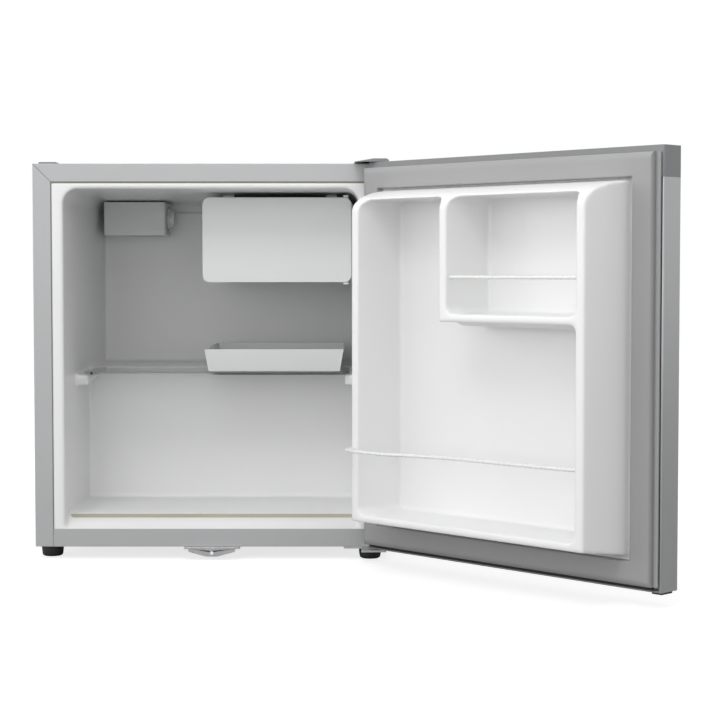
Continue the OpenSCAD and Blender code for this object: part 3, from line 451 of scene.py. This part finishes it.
def ring_mesh(name, profile, left, right, low, high):
    """Carries a profile of (inset, depth) round four mitred corners."""
    verts = []
    for inset, depth in profile:
        for x, z in ((left + inset, low + inset), (right - inset, low + inset),
                     (right - inset, high - inset), (left + inset, high - inset)):
            verts.append((x, depth, z))
    faces = []
    count = len(profile)
    for ring in range(count):
        after = (ring + 1) % count
        for corner in range(4):
            following = (corner + 1) % 4
            faces.append((ring * 4 + corner, ring * 4 + following, after * 4 + following, after * 4 + corner))
    return closed_mesh(name, verts, faces)


def door_gasket():
    """Vinyl seal: a soft magnetic cushion and, along the free edge, the low bellows beside it."""
    cushion = [(0.0, -1.5), (0.0, -7.8), (1.2, -9.2), (3.4, -10.5), (5.6, -11.2), (8.0, -11.4),
               (24.6, -11.4), (25.6, -10.8), (26.0, -9.6), (26.0, -1.5)]
    cushion = [(inset * MM, depth * MM) for inset, depth in cushion]
    free_edge = GASKET_RIGHT
    squared = 5.7 * MM
    mesh = ring_mesh("door_seal", cushion, GASKET_LEFT, free_edge, GASKET_LOW, GASKET_HIGH)
    for vertex in mesh.vertices:
        if vertex.co.x > free_edge - squared and vertex.co.y < -3 * MM:
            vertex.co.x = free_edge - (free_edge - vertex.co.x) * 0.25
    piece = link("door_seal", mesh)
    bellows = [
        (free_edge - 4 * MM, -1.5 * MM), (free_edge + GASKET_FLANGE - 0.3 * MM, -1.5 * MM),
        (free_edge + GASKET_FLANGE, -3.6 * MM), (free_edge + 4.6 * MM, -4.4 * MM),
        (free_edge + 2.4 * MM, -4.4 * MM), (free_edge + 1.6 * MM, -2.6 * MM),
        (free_edge + 0.9 * MM, -2.6 * MM), (free_edge - 4 * MM, -6 * MM),
    ]
    combine(piece, prism(bellows, 2, GASKET_LOW, GASKET_HIGH), "UNION")
    piece.data.transform(DOOR_MATRIX)
    split = piece.modifiers.new("split", "EDGE_SPLIT")
    split.split_angle = 50 * DEG
    finish_piece(piece, "door_seal", "door", "gasket_grey", "door_gasket")


def bottom_gap_painted_shade():
    """Painted shade: dark strip for the shaded gap under the seal, laid over the lip of the bottom cap."""
    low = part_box("door_bottom_cap")[0][2] + 1.7 * MM
    left, right = 6 * MM, DOOR_WIDTH - 9 * MM
    outline = [(left, low), (right, low), (right, GASKET_LOW), (left, GASKET_LOW)]
    strip = prism(outline, 1, -0.2 * MM, 0.1 * MM)
    strip.data.transform(DOOR_MATRIX)
    # the black rubber slot colours this strip as painted shade for the recess, not as a rubber part
    finish_piece(strip, "bottom_gap_painted_shade", "door", "black_rubber")


# ---------------------------------------------------------------- painted shade along the seams of the painted front

def front_shade_line(start, end, width):
    """Thin dark line of painted shade on the front face between two points of its XZ plane."""
    run = Vector(end) - Vector(start)
    aside = Vector((-run.y, run.x)).normalized() * width / 2
    corners = [Vector(start) + aside, Vector(start) - aside, Vector(end) - aside, Vector(end) + aside]
    return prism([tuple(corner) for corner in corners], 1, FRONT - 0.06 * MM, FRONT + 0.5 * MM)


def rim_seam_shade():
    """Painted shade: dark lines standing for the shaded gaps where the shell's folded front meets at its
    corners and round the liner.
    """
    rim = 22.5 * MM
    edge = 0.4 * MM
    inner = HALF_WIDTH - rim
    lid = HEIGHT - rim
    lines = [
        ((-inner, 0.5 * MM), (-inner, lid)), ((inner, 0.5 * MM), (inner, lid)),
        ((-inner, lid), (inner, lid)),
        ((-inner, lid), (-HALF_WIDTH + edge, HEIGHT - edge)),
        ((inner, lid), (HALF_WIDTH - edge, HEIGHT - edge)),
    ]
    strips = [front_shade_line(start, end, 0.9 * MM) for start, end in lines]
    for strip in strips[1:]:
        combine(strips[0], strip, "UNION")
    # the dark grey plastic slot colours these lines of painted shade, not a plastic part
    finish_piece(strips[0], "rim_seam_shade", "cabinet", "dark_grey_plastic")


# ---------------------------------------------------------------- carried-over CAD nodes

def dress_cad_nodes():
    """Gives each CAD node its slot's material, small edge bevels in mm and split shading."""
    merge = 0.01 * MM
    bevels = {
        "outer_shell": 0.5, "front_bottom_rail": 0.3, "door_top_cap": 1.6, "door_bottom_cap": 0.5,
        "chiller_flap": 1.6, "drip_tray": 0.9, "control_box": 4.0, "chiller_frame": 0.6, "glass_shelf": 0.5,
        "top_hinge_cover": 0.5, "hinge_hole_cap": 0.7, "bottom_hinge": 0.5, "catch_bracket": 0.4,
        "front_left_foot": 0.8, "front_right_foot": 0.8, "rear_feet": 0.8, "thermostat_knob": 0.8,
        "wall_spacers": 1.2, "relay_box": 1.5, "drip_pan": 0.6, "door_pad": 0.6, "door_skin": 0.35,
        "compressor_plate": 0.4, "evaporator": 0.3, "cord_gland": 0.5, "hinge_screws": 0.4,
        "condenser_clips": 0.6, "top_hinge": 0.3,
    }
    slots = {part["node"]: part["material_slot"] for part in frame["record"]["subparts"]}
    for name, node in frame["nodes"].items():
        node.data.materials.clear()
        node.data.materials.append(MATERIALS[slots[name]])
        weld = node.modifiers.new("weld", "WELD")
        weld.merge_threshold = merge
        if name in bevels:
            bevel = node.modifiers.new("bevel", "BEVEL")
            bevel.width = bevels[name] * MM
            bevel.segments = 3
            bevel.limit_method = "ANGLE"
            bevel.angle_limit = 35 * DEG
            bevel.use_clamp_overlap = True
        split = node.modifiers.new("split", "EDGE_SPLIT")
        split.split_angle = 32 * DEG


add_camera()
add_light()
add_floor()
dress_cad_nodes()
cabinet_liner()
door_liner()
door_gasket()
rim_seam_shade()
bottom_gap_painted_shade()
